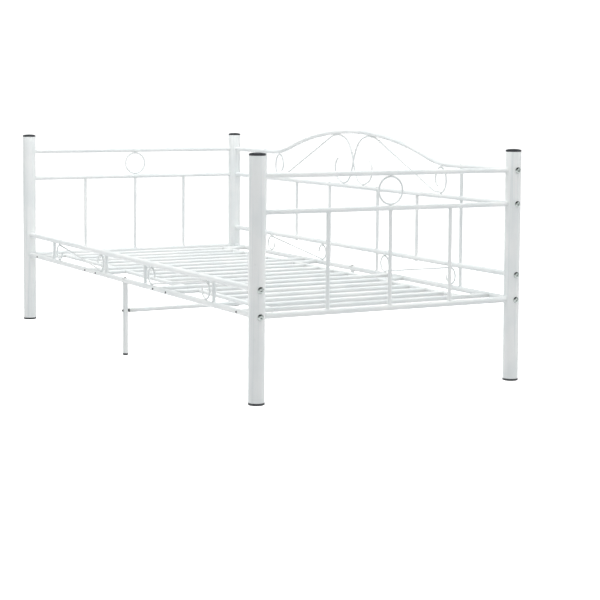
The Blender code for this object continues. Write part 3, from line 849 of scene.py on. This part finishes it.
SCREW_X = sorted(x for panel in slat_places.values() for x in (panel[0], panel[-1]))
for row, sign in (("front", -1), ("rear", 1)):
    for index, x in enumerate(SCREW_X):
        seat = Vector((x, sign * (POST_Y + HEAVY - 0.2 * MM), BASE_Z))
        bolt_head(f"{row}_panel_screw_{index + 1}", seat, Y * sign, 3.6 * MM, 2.4 * MM, 2.5 * MM,
                  2 * MM, 10 * MM, BLACK_OXIDE)

# %% [markdown]
# ## Floor, light and camera
#
# A pale seamless floor, bright walls and one broad lamp high above give the soft light of a product
# studio: tops of the tubes are brightest and their undersides a cool grey.  The ceiling is dark, so
# polished bolt heads show it as a dark crescent; the lamp itself is hidden from reflections.

# %% Floor
FLOOR_GLOW = 1.0


def floor_finish():
    material, tree, shader = new_finish("matt studio floor")
    place = node(tree, "ShaderNodeTexCoord").outputs["Object"]
    cloud = node(tree, "ShaderNodeTexNoise", Vector=place, Scale=0.8, Detail=2.0)
    tone = blend(tree, cloud.outputs[0], linear("#fbfbfb"), linear("#ffffff"))
    tree.links.new(tone, shader.inputs["Base Color"])
    shader.inputs["Roughness"].default_value = 1.0
    shader.inputs["Specular IOR Level"].default_value = 0.0
    shader.inputs["Emission Color"].default_value = (1, 1, 1, 1)
    shader.inputs["Emission Strength"].default_value = FLOOR_GLOW
    return material


FLOOR_HALF = 60.0
floor_mesh = bpy.data.meshes.new("studio_floor")
floor_mesh.from_pydata([(x, y, 0) for x, y in ((-FLOOR_HALF, -FLOOR_HALF), (FLOOR_HALF, -FLOOR_HALF),
                                               (FLOOR_HALF, FLOOR_HALF), (-FLOOR_HALF, FLOOR_HALF))],
                       [], [(0, 1, 2, 3)])
floor = bpy.data.objects.new("studio_floor", floor_mesh)
bpy.context.scene.collection.objects.link(floor)
floor.data.materials.append(floor_finish())
floor.visible_diffuse = False
floor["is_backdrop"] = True

# %% Sky and lamps
SKY_ABOVE, SKY_EDGE, SKY_BELOW, CEILING = 0.88, 1.07, 0.60, 0.03
world = bpy.data.worlds.new("studio")
bpy.context.scene.world = world
world.use_nodes = True
tree = world.node_tree
background = tree.nodes["Background"]
ray = node(tree, "ShaderNodeTexCoord").outputs["Generated"]
height = node(tree, "ShaderNodeSeparateXYZ", Vector=ray).outputs["Z"]
edge = blend(tree, ramp(tree, height, -0.08, -0.01), (SKY_BELOW, SKY_BELOW, SKY_BELOW * 1.02, 1),
             (SKY_EDGE, SKY_EDGE, SKY_EDGE, 1))
walls = blend(tree, ramp(tree, height, 0.12, 0.20), edge, (SKY_ABOVE, SKY_ABOVE, SKY_ABOVE, 1))
sky = blend(tree, ramp(tree, height, 0.40, 0.52), walls, (CEILING, CEILING, CEILING, 1))
tree.links.new(sky, background.inputs["Color"])


def lamp(name, place, target, size, power):
    data = bpy.data.lights.new(name, "AREA")
    data.size = size
    data.energy = power
    obj = bpy.data.objects.new(name, data)
    bpy.context.scene.collection.objects.link(obj)
    obj.location = place
    obj.rotation_euler = (Vector(target) - Vector(place)).to_track_quat("-Z", "Y").to_euler()
    obj.visible_camera = False
    return obj


overhead = lamp("overhead_softbox", (0.3, -0.3, 5.0), (0.3, -0.3, 0.3), 6.0, 370)
overhead.visible_glossy = False
lamp("side_softbox", (3.4, 3.0, 1.7), (0, 0, 0.4), 1.6, 14)

# %% Camera
CAMERA_PLACE = Vector((5.1736, -2.5966, 0.9214))
CAMERA_TURN, CAMERA_PITCH, CAMERA_ROLL = radians(61.327), radians(3.99), radians(0.36)
camera_data = bpy.data.cameras.new("camera")
camera_data.lens = 96.28
camera_data.shift_y = -0.16
camera_data.sensor_width = 36.0
camera = bpy.data.objects.new("camera", camera_data)
bpy.context.scene.collection.objects.link(camera)
forward = Vector((-sin(CAMERA_TURN) * cos(CAMERA_PITCH), cos(CAMERA_TURN) * cos(CAMERA_PITCH),
                  -sin(CAMERA_PITCH)))
level_turn = forward.to_track_quat("-Z", "Y").to_matrix().to_4x4()
camera.matrix_world = Matrix.Translation(CAMERA_PLACE) @ level_turn @ Matrix.Rotation(CAMERA_ROLL, 4, "Z")
bpy.context.scene.camera = camera
bpy.context.scene.view_settings.view_transform = "Standard"

# %% Sizes and the end
low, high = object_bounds()
print("visual box:", [tuple(round(v, 4) for v in corner) for corner in (low, high)])
